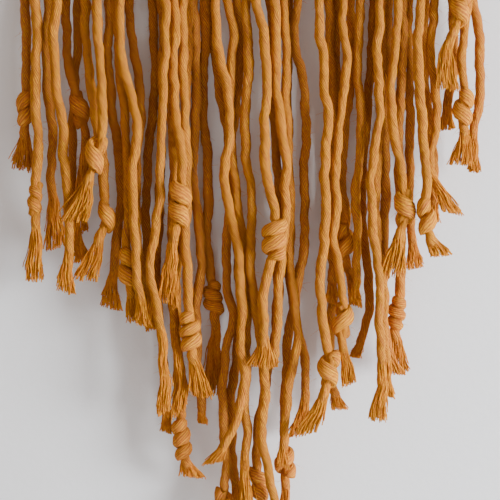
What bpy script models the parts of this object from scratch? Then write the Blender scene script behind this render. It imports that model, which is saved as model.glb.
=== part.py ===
"""Macrame wall hanging: two rows of knotted cotton cords that end in a deep V of frayed tails.

Each row is one solid: a holding cord covered by cord knots, with 26 hanging cords tied on, most of them
ending in an overhand knot. The hanging is 3 mm single-strand cotton, about 150 mm wide and 210 mm deep.
X runs across it, -Y is its front and +Z is up; the origin is the middle of its top edge.
"""

import math
import random

import bmesh
import bpy
import numpy as np
from mathutils import Vector

MM = 0.001

# The cord and its tails
CORD_RADIUS = 1.5          # mm
TAIL_HALF_DEPTH = 1.1      # mm, front to back, of a frayed tail
TAIL_OPENING = 0.8         # power of a tail's widening: below 1 it opens early
CUT_RAGGED = 1.6           # mm, how far a tail's cut end runs up and down
GAP = 0.5                  # mm, air left between neighbours

# The two headings
HEAD_KNOTS = 13            # cord knots on each holding cord
HEAD_PITCH = 11.52         # mm, from knot to knot
HEAD_HEIGHT = 8.4          # mm, of a cord knot
HEAD_DEPTH = 7.6           # mm
HEAD_SIDES = 8
HEAD_STUB = 2.4            # mm, of bare holding cord beyond the last cord knots
HEAD_END = 0.38            # share of the heading's height at that bare cord
# The wraps of a cord knot: place across its width, share of the full height there
HEAD_WRAPS = ((-0.47, 0.52), (-0.3, 0.98), (-0.13, 0.86), (0.0, 1.0), (0.13, 0.86), (0.3, 0.98),
              (0.47, 0.52))
LEG_STRAIGHT = 0.6         # mm that a leg hangs straight below its heading
LEG_SPREAD = 1.75          # mm, from a knot's middle to each of its two legs
HEAD_CENTRE = 4.2          # mm below the top edge
LEG_START = 5.0            # mm below the top edge, inside the heading
ROOT_Y = {"front": -4.4, "back": 4.4}      # mm, each row's depth at its heading

# How the cords are layered, front to back
LAYER_PITCH = 3.6          # mm
MIDDLE_LAYER = 1.5
STATION = 7.4              # mm, between the rings of a cord
SETTLE_ROUNDS = 700
SETTLE_PUSH = 0.35         # share of an overlap that is pushed apart in one round
CALM_ROUNDS = 0.7          # share of the rounds in which the cords are also smoothed
CALM_BEND = 0.09           # how far a round straightens a bend
CALM_RETURN = 0.02         # how far a round draws a cord back to its layer

# The overhand knots
KNOT_SIDES = 8
KNOT_RINGS = 11
KNOT_END = 0.95            # share of a knot's half length at which its end is flat
KNOT_SQUARENESS = 4        # power of a knot's outline: 2 would be an ellipse
KNOT_ENDS = 1.05           # turns' worth of length that its two ends take
KNOT_RIDGE = 0.24          # depth of the crease between two turns, as a share of the knot's radius
KNOT_FLATNESS = 0.9        # depth of a knot as a share of its width

COTTON = {                 # base colour (linear) and roughness of each row's dyed cotton
    "front": ((0.58, 0.29, 0.055, 1.0), 0.9),
    "back": ((0.44, 0.20, 0.035, 1.0), 0.9),
}
SHARP_ANGLE = 40           # degrees; gentler edges are shaded smooth

# The cords in order across each row, all in mm. Columns: layer from the front; the overhand knot, as
# its distance down, length, width, turns, hand and the degrees it faces round; the distance down at
# which the cord frays; half the frayed end's width; and the route, as (across, down) points chosen
# by hand.
LAYER, KNOT, FRAY, HALF_END, ROUTE = range(5)
CORDS = {
    "front": (
        (0.9, (93.7, 12.2, 4.8, 2.5, -1, 180), 100.4, 2.9,
         ((-68.5, 30), (-67.8, 39.6), (-68.2, 49.2), (-68.5, 62), (-67.8, 71.6), (-67.5, 78),
          (-68.2, 87.6), (-68.5, 94), (-68.5, 101), (-68.8, 119.6))),
        (0.5, None, 109.4, 2.9,
         ((-61.4, 30), (-62.7, 44.4), (-62.1, 51.8), (-60.8, 63.6), (-59.5, 71.6), (-59.2, 79.6),
          (-58.6, 87.6), (-57.6, 98.8), (-57.6, 106.8), (-58.2, 113.8), (-58.2, 123.4))),
        (1.0, (99.1, 12.8, 5.8, 1.1, -1, 130), 105.5, 3.8,
         ((-52.8, 30), (-52.5, 39.6), (-51.8, 49.2), (-50.2, 60.4), (-49, 70), (-47.4, 78),
          (-46.7, 86), (-46.4, 92.4), (-45.8, 99.1), (-47.7, 105.5), (-52.5, 119.6))),
        (0.0, (79.6, 14.7, 7.0, 1.2, -1, 80), 87.0, 4.5,
         ((-49, 30), (-48.3, 39.6), (-47.7, 50.8), (-46.7, 65.2), (-47, 72.2), (-49, 79.9),
          (-50.9, 87), (-55.7, 101))),
        (1.0, (115.4, 14.1, 6.4, 1.5, -1, 0), 122.8, 3.8,
         ((-43.2, 30), (-42.2, 42.8), (-41.3, 55.6), (-40, 66.8), (-39.4, 78), (-39, 90.8),
          (-39, 100.4), (-39.7, 107.4), (-39, 115.8), (-38.1, 123.4), (-35.2, 133))),
        (0.2, None, 121.2, 2.6,
         ((-41.3, 30), (-41.3, 43.4), (-40.6, 49.8), (-39, 56.6), (-36.8, 64.6), (-35.8, 70),
          (-36.5, 78), (-37.4, 86), (-37.1, 95.6), (-36.5, 106.8), (-35.5, 121.2), (-33, 134))),
        (0.0, None, 131.8, 2.2,
         ((-27.2, 30), (-26.9, 46), (-27.5, 57.2), (-27.8, 68.4), (-28.5, 81.2), (-28.5, 92.4),
          (-29.8, 102), (-31.4, 111.6), (-31.7, 118), (-30.1, 125.4), (-28.8, 131.8), (-27.8, 140.4),
          (-27.2, 151.6), (-27.2, 161.2))),
        (1.4, None, 131.8, 2.6,
         ((-25.6, 30), (-25.3, 49.2), (-25, 68.4), (-24.3, 81.2), (-24.6, 94), (-25.3, 110),
          (-25, 126), (-23.7, 138.8), (-22.4, 150), (-22.4, 161.8))),
        (0.4, (95.6, 16.0, 7.7, 1.8, -1, 70), 103.3, 3.2,
         ((-24, 30), (-23.7, 39.6), (-24.3, 52.4), (-24, 62), (-22.7, 73.2), (-21.4, 84.4),
          (-22.1, 94), (-23.4, 103), (-25, 111.6), (-25.6, 127))),
        (0.9, (135.9, 13.4, 7.0, 2.5, 1, 120), 143.0, 3.5,
         ((-21.4, 30), (-21.4, 46), (-21.1, 58.8), (-20.5, 74.8), (-20.2, 90.8), (-20.8, 103.6),
          (-20.2, 116.4), (-19.5, 126), (-19.2, 135.9), (-18.2, 143.3), (-15.7, 156.7))),
        (0.2, None, 170.8, 2.9,
         ((-10.9, 30), (-10.6, 42.8), (-9.3, 49.8), (-7.4, 58.8), (-6.4, 66.8), (-6.7, 74.8),
          (-8, 83.8), (-7.7, 92.4), (-6.1, 98.8), (-4.5, 105.8), (-3.2, 118), (-2.6, 129.2),
          (-2.9, 140.4), (-1.9, 151.6), (-2.9, 158.6), (-4.8, 165), (-7.7, 171.1), (-11.8, 177.8))),
        (1.1, None, 173.4, 2.6,
         ((-7.7, 30), (-6.4, 34.8), (-4.8, 42.2), (-6.1, 48.6), (-6.1, 57.2), (-6.4, 68.4), (-5.8, 78),
          (-4.8, 89.2), (-3.8, 97.2), (-2.2, 105.2), (-1, 113.8), (-1, 132.4), (-1.3, 148.4),
          (-1.6, 159.6), (-1, 169.2), (-1.6, 177.2), (-1, 195.8))),
        (0.7, (201.2, 14.1, 7.7, 1.5, 1, 45), 208.2, 3.5,
         ((-1.3, 30), (-1, 39.6), (-0.3, 49.2), (-1, 58.8), (-1.6, 70), (-1.3, 79.6), (0.3, 90.8),
          (0.6, 101), (0, 110), (0.6, 119.6), (1.9, 129.8), (3.8, 141.4), (4.8, 153.2), (4.2, 161.8),
          (3.8, 170.8), (5.8, 179.8), (7.7, 190), (8.3, 199.6), (8, 209.2))),
        (0.0, (106.5, 14.1, 8.0, 2.5, 1, 270), 139.4, 4.2,
         ((1.9, 30), (2.9, 35.8), (4.5, 42.8), (5.1, 49.8), (5.1, 63.6), (4.5, 74.8), (5.1, 85),
          (6.7, 93.4), (8, 101), (7.7, 106.8), (6.4, 113.8), (4.5, 122.8), (4.2, 134), (4.5, 140.4),
          (2.9, 147.1))),
        (0.5, None, 142.6, 1.6,
         ((7.7, 30), (8.3, 39.6), (8.3, 54), (9, 63.6), (10.2, 73.2), (11.5, 81.8), (11.2, 89.2),
          (11.2, 98.8), (10.6, 106.8), (9.6, 114.8), (9, 124.4), (8.6, 134), (8, 141.4), (7, 147.1))),
        (1.0, None, 170.8, 1.9,
         ((10.6, 30), (11.5, 39.6), (11.5, 49.2), (11.5, 60.4), (12.2, 74.8), (12.8, 94),
          (12.8, 106.8), (12.5, 114.8), (13.8, 122.8), (15, 131.8), (15, 138.8), (13.8, 146.5),
          (12.2, 154.8), (11.2, 162.8), (10.9, 170.2), (10.6, 179.1))),
        (0.0, (147.8, 13.4, 7.4, 1.5, -1, 135), 154.5, 3.5,
         ((21.8, 30), (22.1, 39.6), (23.4, 50.8), (23.7, 60.4), (25, 70.6), (24, 76.7), (23.7, 84.4),
          (24, 95.6), (23.7, 105.2), (22.4, 116.4), (22.4, 126), (24, 138.2), (25, 147.8),
          (23.4, 154.8), (18.2, 168.2))),
        (0.3, (132.4, 13.4, 6.7, 1.5, 1, 0), 139.1, 2.2,
         ((29.4, 30), (29.4, 37), (30.7, 48.6), (30.4, 55.6), (29.1, 63.6), (28.2, 74.2), (27.2, 82.8),
          (27.5, 95.6), (26.6, 106.8), (28.2, 115.8), (29.4, 122.8), (29.4, 132.4), (29.4, 139.1),
          (31.7, 152.6))),
        (1.0, None, 120.2, 1.6,
         ((35.5, 30), (34.6, 41.2), (34.6, 57.2), (35.5, 70), (34.9, 79.6), (33.9, 89.2),
          (34.2, 105.2), (34.2, 113.8), (33.3, 126))),
        (0.0, None, 142.6, 2.9,
         ((41, 30), (41, 38), (40.3, 47.6), (41, 60.4), (41, 69), (39.7, 76.4), (38.4, 87.6),
          (38.7, 98.8), (39.7, 110), (41, 118), (41, 129.2), (41.3, 138.8), (41.9, 147.8),
          (40.6, 163.8))),
        (1.2, None, 143.6, 1.9,
         ((42.2, 30), (41.9, 42.8), (41.6, 58.8), (41.6, 70), (40.6, 81.2), (40.3, 97.2),
          (41.3, 113.8), (42.9, 126), (42.6, 137.2), (43.5, 145.8), (44.5, 156.7))),
        (0.2, (96.2, 14.1, 7.0, 1.5, -1, 180), 103.6, 4.2,
         ((47, 30), (46.7, 40.2), (45.8, 48.6), (44.8, 58.8), (45.1, 67.8), (46.4, 76.4), (48.3, 86),
          (49.3, 96.2), (48, 103.6), (44.5, 118.6))),
        (0.0, (99.4, 13.4, 6.1, 1.5, 1, 120), 106.2, 3.5,
         ((54.1, 30), (53.8, 38), (53.1, 46.6), (53.8, 57.2), (54.4, 68.4), (55.4, 79.6), (56, 90.8),
          (56, 99.4), (57.3, 106.5), (61.1, 111.9))),
        (1.0, None, 85.0, 3.2,
         ((58.6, 30), (58.2, 39.6), (57.6, 48.6), (58.6, 56.2), (59.8, 64.6), (59.2, 71.6),
          (57.6, 78.6), (57.9, 85), (60.8, 90.8), (64.6, 98.2))),
        (0.0, (33.5, 14.1, 7.0, 1.5, -1, 150), 41.5, 3.5,
         ((65.9, 20.4), (66.6, 26.8), (66.6, 33.8), (64.3, 40.9), (62.1, 46), (62.1, 51.8),
          (62.7, 58.8))),
        (0.8, (64.2, 13.4, 6.7, 1.5, -1, 30), 71.0, 3.5,
         ((69.1, 20.4), (69.4, 30), (69.1, 36.4), (67.8, 43.4), (67.5, 49.8), (68.2, 56.9),
          (67.8, 64.2), (68.2, 71), (67.2, 82.8))),
    ),
    "back": (
        (2.0, (64.9, 12.8, 5.8, 1.5, 1, 180), 71.6, 3.5,
         ((-72.3, 30), (-71.7, 46), (-72, 58.2), (-72.3, 65.2), (-72.3, 72.2), (-73, 84.4))),
        (2.1, None, 86.3, 3.5,
         ((-65, 30), (-65.3, 46), (-65, 58.8), (-63.7, 68.4), (-63.4, 78), (-64, 87.6), (-63, 98.8),
          (-62.4, 109))),
        (2.3, (64.6, 14.4, 6.4, 1.5, -1, 210), 72.2, 2.6,
         ((-59.2, 30), (-58.9, 42.8), (-57.9, 52.4), (-56, 58.8), (-54.1, 65.8), (-53.1, 73.2),
          (-53.8, 87.6), (-54.7, 104.9))),
        (3.0, None, 102.0, 2.6,
         ((-55.7, 30), (-55.7, 42.8), (-56.6, 55.6), (-57.3, 71.6), (-57.3, 87.6), (-56.3, 102),
          (-54.4, 113.8))),
        (3.0, None, 113.8, 3.2,
         ((-45.4, 30), (-45.8, 46), (-44.8, 62), (-42.6, 78), (-41.6, 87.6), (-42.6, 103.6),
          (-43.8, 113.2), (-44.8, 128.6))),
        (2.0, None, 120.2, 2.2,
         ((-38.7, 30), (-38.4, 39.6), (-36.8, 47.6), (-35.5, 58.2), (-34.9, 64.6), (-35.5, 71.6),
          (-36.5, 81.2), (-36.5, 94), (-36.2, 106.8), (-34.9, 118), (-32, 129.8))),
        (3.0, None, 125.4, 2.2,
         ((-31.7, 30), (-31, 42.8), (-30.7, 55.6), (-31.4, 65.8), (-32.6, 74.8), (-33, 82.8),
          (-33.6, 95.6), (-33.3, 108.4), (-33, 119.6), (-31, 135.6))),
        (2.5, None, 159.3, 1.9,
         ((-28.5, 30), (-28.2, 55.6), (-28.8, 81.2), (-29.4, 103.6), (-30.1, 119.6), (-28.8, 135.6),
          (-27.5, 151.6), (-26.9, 168.6))),
        (2.0, (170.8, 14.1, 6.4, 2.5, 1, 150), 177.5, 3.2,
         ((-19.5, 30), (-19.8, 42.8), (-20.5, 62), (-22.1, 87.6), (-23.4, 113.2), (-23.4, 135.6),
          (-22.7, 158), (-22.1, 165), (-21.8, 170.8), (-20.8, 177.8), (-18.2, 183))),
        (2.2, None, 160.6, 1.6,
         ((-18.2, 30), (-17.6, 42.8), (-17.3, 58.8), (-17.6, 71.6), (-18.6, 81.2), (-17.6, 94),
          (-15.7, 108.4), (-15.7, 115.8), (-17, 126), (-17, 142), (-16, 156.4), (-15, 165.7))),
        (3.0, (125.4, 11.5, 6.4, 2.5, -1, 90), 131.1, 3.2,
         ((-14.4, 30), (-14.4, 42.8), (-15.4, 60.4), (-14.1, 76.4), (-13.4, 92.4), (-14.1, 103.6),
          (-13.1, 115.8), (-11.8, 125.7), (-11.5, 131.8), (-12.2, 156.4))),
        (3.0, None, 183.6, 1.9,
         ((-12.2, 30), (-11.5, 44.4), (-9.6, 58.8), (-7, 74.8), (-6.1, 94), (-3.8, 113.2),
          (-2.9, 129.2), (-4.5, 145.2), (-6.1, 158), (-6.1, 169.2), (-5.4, 180.4), (-4.2, 193.8))),
        (2.0, (191.9, 12.8, 6.4, 1.5, 1, 60), 198.3, 3.2,
         ((-4.2, 30), (-3.2, 41.2), (-3.8, 55.6), (-5.4, 71.6), (-6.4, 87.6), (-7, 102), (-7.7, 113.8),
          (-7, 123.8), (-5.4, 132.4), (-7.4, 140.4), (-8.6, 151.6), (-8.6, 164.4), (-7.7, 177.2),
          (-8.3, 190), (-8.3, 204.4))),
        (2.2, (184.9, 12.2, 6.4, 1.5, -1, 330), 191.3, 2.9,
         ((6.7, 30), (7, 49.2), (7.7, 68.4), (9, 87.6), (8.6, 106.8), (9, 124.4), (8.3, 135.6),
          (6.1, 146.8), (4.2, 158), (2.2, 170.8), (2.2, 179.8), (3.5, 186.8), (4.5, 199.6))),
        (3.0, None, 155.4, 2.9,
         ((12.5, 30), (12.2, 39.6), (12.2, 58.8), (12.5, 81.2), (13.1, 103.6), (12.8, 119.6),
          (14.7, 132.4), (17, 142.6), (18.2, 151.6), (17.3, 159.6), (15.4, 169.5))),
        (2.0, (178.2, 10.9, 7.0, 1.5, 1, 300), 183.9, 2.2,
         ((15.7, 30), (14.1, 37), (14.4, 43.4), (16, 50.8), (17.6, 60.4), (17.9, 74.8), (17.3, 87.6),
          (17.6, 105.2), (16.3, 115.8), (14.1, 127.6), (12.2, 138.8), (11.5, 151.6), (10.9, 167.6),
          (11.2, 177.8), (11.2, 184.2), (10.9, 199.6))),
        (3.0, None, 118.3, 1.9,
         ((25.6, 30), (25.6, 41.2), (26.6, 57.2), (26.6, 74.8), (26.6, 90.8), (25.9, 106.8),
          (26.6, 118), (26.2, 127))),
        (3.3, None, 155.4, 2.6,
         ((27.8, 30), (27.8, 49.2), (28.2, 68.4), (28.8, 94), (27.2, 119.6), (25.9, 138.8),
          (26.2, 151.6), (28.8, 161.5))),
        (2.0, (107.4, 14.1, 6.1, 1.5, 1, 90), 114.5, 1.9,
         ((32.3, 30), (32.3, 42.8), (32, 57.2), (30.4, 71.6), (29.4, 81.2), (29.8, 90.8), (30.7, 99.8),
          (30.7, 107.4), (31.4, 115.1), (34.2, 127.9))),
        (3.1, None, 138.2, 1.9,
         ((39.7, 30), (39, 49.2), (38.1, 63.6), (36.8, 78), (36.2, 90.8), (36.8, 106.8), (38.4, 119.6),
          (38.4, 128.6), (36.8, 136.2), (34.2, 144.6))),
        (2.0, None, 140.4, 1.9,
         ((44.2, 30), (44.2, 42.8), (43.2, 55.6), (43.2, 70), (43.5, 84.4), (43.2, 100.4),
          (43.2, 114.8), (42.6, 126), (42.9, 135.6), (44.8, 142.6), (48, 149.7))),
        (2.2, (130.2, 11.5, 5.8, 2.5, -1, 0), 136.2, 3.5,
         ((49, 30), (49, 49.2), (48, 65.2), (47.7, 81.2), (48.6, 95.6), (48.6, 106.8), (48.3, 119.6),
          (47.4, 130.2), (46.7, 136.9), (48.3, 149))),
        (2.6, None, 105.5, 2.9,
         ((51.2, 30), (51.5, 49.2), (51.5, 68.4), (51.5, 84.4), (51.5, 98.8), (52.2, 106.8),
          (53.4, 115.8))),
        (3.0, None, 92.7, 1.9,
         ((56.3, 30), (56.3, 46), (57, 62), (58.9, 78), (59.5, 89.2), (58.9, 101.7))),
        (2.0, None, 60.7, 2.6,
         ((64.6, 23.6), (65, 33.2), (65.6, 43.4), (65, 54), (63.7, 62), (63, 71.3))),
        (2.2, None, 71.6, 1.9,
         ((71.7, 30), (73, 37), (73.9, 46), (73.9, 55.6), (73.3, 64.6), (72, 72.2), (71.7, 84.7))),
    ),
}


def smooth_route(points, down):
    """Position across at each distance down, on a smooth curve through the route's points."""
    across = np.array([p[0] for p in points])
    depth = np.array([p[1] for p in points])
    slope = np.gradient(across, depth)
    i = np.clip(np.searchsorted(depth, down) - 1, 0, len(depth) - 2)
    span = depth[i + 1] - depth[i]
    t = (down - depth[i]) / span
    return ((1 + 2 * t) * (1 - t) ** 2 * across[i] + t * (1 - t) ** 2 * span * slope[i]
            + t * t * (3 - 2 * t) * across[i + 1] + t * t * (t - 1) * span * slope[i + 1])


def root_across(number):
    """Where a row's cord of this number leaves its heading: two legs to each cord knot."""
    knot, leg = divmod(number, 2)
    return (knot - (HEAD_KNOTS - 1) / 2) * HEAD_PITCH + (leg * 2 - 1) * LEG_SPREAD


class Cord:
    """One hanging cord, with the sizes of its section at every station down its length."""

    def __init__(self, row, number, entry):
        self.row = row
        self.layer = entry[LAYER]
        self.knot = entry[KNOT]
        self.fray = entry[FRAY]
        self.half_end = entry[HALF_END]
        root = root_across(number)
        self.route = ((root, LEG_START), (root, HEAD_CENTRE * 2 + LEG_STRAIGHT)) + entry[ROUTE]
        end = self.route[-1][1]
        count = max(3, round((end - LEG_START) / STATION)) + 1
        self.down = np.linspace(LEG_START, end, count)
        self.across = smooth_route(self.route, self.down)
        self.depth = np.full(count, (self.layer - MIDDLE_LAYER) * LAYER_PITCH)
        self.depth[0] = ROOT_Y[row]

    def flare(self, down):
        """0 on the cord, rising to 1 at the cut end of its frayed tail."""
        return np.clip((down - self.fray) / (self.down[-1] - self.fray), 0, 1)

    def half_sizes(self, down):
        """Half width and half depth of what hangs there: cord, knot or tail."""
        flare = self.flare(down)
        wide = CORD_RADIUS + (self.half_end - CORD_RADIUS) * flare ** TAIL_OPENING
        deep = CORD_RADIUS + (TAIL_HALF_DEPTH - CORD_RADIUS) * flare
        if self.knot:
            middle, length, width = self.knot[:3]
            bulge = np.sqrt(np.clip(1 - ((down - middle) / (length / 2)) ** KNOT_SQUARENESS, 0, 1))
            wide = np.maximum(wide, bulge * width / 2)
            deep = np.maximum(deep, bulge * width / 2 * KNOT_FLATNESS)
        return wide, deep


def settle(cords):
    """Pushes the cords apart front to back, in the order of their layers, until none touch."""
    fine = np.arange(LEG_START, max(c.down[-1] for c in cords) + 1, STATION / 3)
    cords = sorted(cords, key=lambda c: c.layer)
    inside = np.array([fine <= c.down[-1] for c in cords])
    across = np.array([np.interp(fine, c.down, c.across) for c in cords])
    sizes = [c.half_sizes(fine) for c in cords]
    wide = np.array([s[0] for s in sizes])
    deep = np.array([s[1] for s in sizes])
    reach = wide[:, None] + wide[None] + GAP
    beside = np.abs(across[:, None] - across[None]) / reach
    need = (deep[:, None] + deep[None] + GAP) * np.sqrt(np.clip(1 - beside ** 2, 0, 1))
    below_head = fine > HEAD_CENTRE * 2
    need *= inside[:, None] & inside[None] & below_head
    behind = np.triu(np.ones((len(cords), len(cords))), 1)[:, :, None]
    reaches = np.linspace(-0.75, 0.75, 5) * STATION
    for turn in range(SETTLE_ROUNDS):
        depth = np.array([np.interp(fine, c.down, c.depth) for c in cords])
        short = np.clip(need - (depth[None] - depth[:, None]), 0, None) * behind * (need > 0)
        push = SETTLE_PUSH * (short.max(axis=0) - short.max(axis=1))
        calming = turn < SETTLE_ROUNDS * CALM_ROUNDS
        for i, cord in enumerate(cords):
            near = np.array([np.interp(cord.down + shift, fine, push[i]) for shift in reaches])
            cord.depth += near[np.abs(near).argmax(axis=0), np.arange(len(cord.down))]
            if calming:
                rest = (cord.layer - MIDDLE_LAYER) * LAYER_PITCH
                calm = cord.depth[:-2] + cord.depth[2:] - 2 * cord.depth[1:-1]
                cord.depth[1:-1] += CALM_BEND * calm
                cord.depth += CALM_RETURN * (rest - cord.depth)
            cord.depth[0] = ROOT_Y[cord.row]


def solid_from_rings(name, rings, collection):
    """A closed solid lofted through rings of equal count: a capped circle, drawn out ring by ring."""
    bm = bmesh.new()
    bmesh.ops.create_circle(bm, cap_ends=True, segments=len(rings[0]), radius=MM)
    cap = bm.faces[:][0]
    for number, ring in enumerate(rings):
        if number:
            drawn = bmesh.ops.extrude_face_region(bm, geom=[cap])["geom"]
            if number > 1:
                bmesh.ops.delete(bm, geom=[cap], context="FACES_ONLY")
            cap = next(item for item in drawn if isinstance(item, bmesh.types.BMFace))
        for vert, point in zip(cap.verts, ring):
            vert.co = Vector(point) * MM
    bmesh.ops.recalc_face_normals(bm, faces=bm.faces)
    mesh = bpy.data.meshes.new(name)
    bm.to_mesh(mesh)
    bm.free()
    solid = bpy.data.objects.new(name, mesh)
    collection.objects.link(solid)
    return solid


def cord_solid(cord, collection, dice):
    """The cord and its tail: four-sided, flat and ragged at the cut."""
    wide, deep = cord.half_sizes(cord.down)
    bare = cord.flare(cord.down) == 0
    wide[bare] = CORD_RADIUS
    deep[bare] = CORD_RADIUS
    lean = np.hypot(1, np.gradient(cord.across, cord.down))
    rings = []
    for x, y, down, a, b, stretch in zip(cord.across, cord.depth, cord.down, wide, deep, lean):
        a = a * stretch
        rings.append([(x - a, y, -down), (x, y - b, -down), (x + a, y, -down), (x, y + b, -down)])
    for corner, sign in enumerate((1, -1, 1, -1)):
        x, y, z = rings[-1][corner]
        rings[-1][corner] = (x, y, z + sign * dice.uniform(0.3, 1) * CUT_RAGGED)
    return solid_from_rings("cord", rings, collection)


def knot_solid(cord, collection):
    """An overhand knot: a barrel of the cord's own turns, with a crease winding between them."""
    middle, length, width, turns, hand, facing = cord.knot
    rise = (length - length / (turns + KNOT_ENDS)) / 2
    rings = []
    for along in np.linspace(-KNOT_END, KNOT_END, KNOT_RINGS):
        down = middle + along * length / 2
        x = np.interp(down, cord.down, cord.across)
        y = np.interp(down, cord.down, cord.depth)
        radius = math.sqrt(1 - abs(along) ** KNOT_SQUARENESS) * width / 2
        ring = []
        for k in range(KNOT_SIDES):
            angle = math.tau * (k + 0.5) / KNOT_SIDES
            wound = turns * (1 - along * length / 2 / rise) / 2
            beside = wound - hand * (angle - math.radians(facing)) / math.tau
            r = radius * (1 - KNOT_RIDGE * (1 - abs(math.cos(math.pi * beside))))
            ring.append((x + r * math.cos(angle), y + r * math.sin(angle) * KNOT_FLATNESS, -down))
        rings.append(ring)
    return solid_from_rings("knot", rings, collection)


def heading_solid(row, collection):
    """The holding cord with its cord knots: one bar, ridged at each wrap."""
    profile = [(root_across(0) + LEG_SPREAD - HEAD_PITCH / 2 - HEAD_STUB, HEAD_END)]
    for knot in range(HEAD_KNOTS):
        middle = (knot - (HEAD_KNOTS - 1) / 2) * HEAD_PITCH
        profile += [(middle + place * HEAD_PITCH, share) for place, share in HEAD_WRAPS]
    profile.append((-profile[0][0], HEAD_END))
    rings = []
    for x, share in profile:
        ring = []
        for k in range(HEAD_SIDES):
            angle = math.tau * (k + 0.5) / HEAD_SIDES
            y = ROOT_Y[row] + share * HEAD_DEPTH / 2 * math.cos(angle) / math.cos(math.pi / HEAD_SIDES)
            z = -HEAD_CENTRE + share * HEAD_HEIGHT / 2 * math.sin(angle) / math.cos(math.pi / HEAD_SIDES)
            ring.append((x, y, z))
        rings.append(ring)
    return solid_from_rings(row + "_row", rings, collection)


def cotton(row):
    """The row's material."""
    colour, roughness = COTTON[row]
    material = bpy.data.materials.new(row + "_cotton")
    material.use_nodes = True
    shader = material.node_tree.nodes["Principled BSDF"]
    shader.inputs["Base Color"].default_value = colour
    shader.inputs["Roughness"].default_value = roughness
    shader.inputs["Metallic"].default_value = 0.0
    return material


def build_row(row, cords, collection, dice):
    """One row as one solid: the heading joined to its cords and their knots."""
    heading = heading_solid(row, collection)
    pieces = bpy.data.collections.new(row + "_pieces")
    bpy.context.scene.collection.children.link(pieces)
    for cord in cords:
        cord_solid(cord, pieces, dice)
        if cord.knot:
            knot_solid(cord, pieces)
    union = heading.modifiers.new("join", "BOOLEAN")
    union.operation = "UNION"
    union.solver = "EXACT"
    union.operand_type = "COLLECTION"
    union.collection = pieces
    bpy.context.view_layer.update()
    evaluated = heading.evaluated_get(bpy.context.evaluated_depsgraph_get())
    joined = bpy.data.meshes.new_from_object(evaluated)
    heading.modifiers.remove(union)
    heading.data = joined
    joined.materials.clear()
    joined.materials.append(cotton(row))
    joined.shade_smooth()
    joined.set_sharp_from_angle(angle=math.radians(SHARP_ANGLE))
    for piece in list(pieces.objects):
        bpy.data.objects.remove(piece)
    bpy.data.collections.remove(pieces)
    return heading


def main():
    for leftover in list(bpy.data.objects):
        bpy.data.objects.remove(leftover)
    hanging = bpy.data.collections.new("macrame_wall_hanging")
    bpy.context.scene.collection.children.link(hanging)
    dice = random.Random(7)
    rows = {row: [Cord(row, i, entry) for i, entry in enumerate(CORDS[row])] for row in CORDS}
    settle(rows["front"] + rows["back"])
    for row, cords in rows.items():
        build_row(row, cords, hanging, dice)


main()
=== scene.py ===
"""Macrame wall hanging: the look of its cords, knots, frayed tails and headings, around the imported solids."""

import math
import random

import bmesh
import bpy
import numpy as np
from bpy.props import FloatProperty, FloatVectorProperty, IntProperty, PointerProperty
from mathutils import Matrix, Vector


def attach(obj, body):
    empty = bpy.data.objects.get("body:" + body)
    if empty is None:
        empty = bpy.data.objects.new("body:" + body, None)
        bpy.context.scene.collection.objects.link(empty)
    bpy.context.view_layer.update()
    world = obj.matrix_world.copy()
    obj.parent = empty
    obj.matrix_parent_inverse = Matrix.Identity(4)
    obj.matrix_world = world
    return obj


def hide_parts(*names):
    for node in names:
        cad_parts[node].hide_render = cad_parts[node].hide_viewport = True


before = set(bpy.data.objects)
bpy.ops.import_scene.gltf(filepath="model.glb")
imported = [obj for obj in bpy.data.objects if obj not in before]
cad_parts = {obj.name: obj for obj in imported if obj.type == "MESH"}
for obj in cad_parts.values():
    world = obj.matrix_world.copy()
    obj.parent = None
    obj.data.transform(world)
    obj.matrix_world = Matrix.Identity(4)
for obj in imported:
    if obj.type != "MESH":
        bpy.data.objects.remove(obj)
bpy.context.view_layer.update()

bl_info = {
    "name": "Macrame Wall Hanging",
    "version": (1, 0, 0),
    "blender": (4, 5, 0),
    "location": "3D View > Sidebar > Hanging",
    "description": "Knotted cotton cords in two rows, with frayed tails",
    "category": "Add Mesh",
}

MM = 0.001
NODES = {"front": "front_row", "back": "back_row"}

# The solids' own sizes, as they are in the part
CORD_RADIUS = 1.5          # mm
TAIL_HALF_DEPTH = 1.1      # mm, front to back, of a frayed tail
TAIL_OPENING = 0.8         # power of a tail's widening: below 1 it opens early
GAP = 0.5                  # mm, air left between neighbours
HEAD_KNOTS = 13            # cord knots on each holding cord
HEAD_PITCH = 11.52         # mm, from knot to knot
HEAD_CENTRE = 4.2          # mm below the top edge
LEG_SPREAD = 1.75          # mm, from a knot's middle to each of its two legs
LEG_START = 5.0            # mm below the top edge, inside the heading
LEG_STRAIGHT = 0.6         # mm that a leg hangs straight below its heading
ROOT_Y = {"front": -4.4, "back": 4.4}      # mm, each row's depth at its heading
LAYER_PITCH = 3.6          # mm
MIDDLE_LAYER = 1.5
STATION = 7.4              # mm, between the places where a cord's depth is settled
SETTLE_ROUNDS = 700
SETTLE_PUSH = 0.35         # share of an overlap that is pushed apart in one round
CALM_ROUNDS = 0.7          # share of the rounds in which the cords are also smoothed
CALM_BEND = 0.09           # how far a round straightens a bend
CALM_RETURN = 0.02         # how far a round draws a cord back to its layer
KNOT_SQUARENESS = 4        # power of a knot's outline: 2 would be an ellipse
KNOT_ENDS = 1.05           # turns' worth of length that its two ends take
KNOT_FLATNESS = 0.9        # depth of a knot as a share of its width

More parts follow.
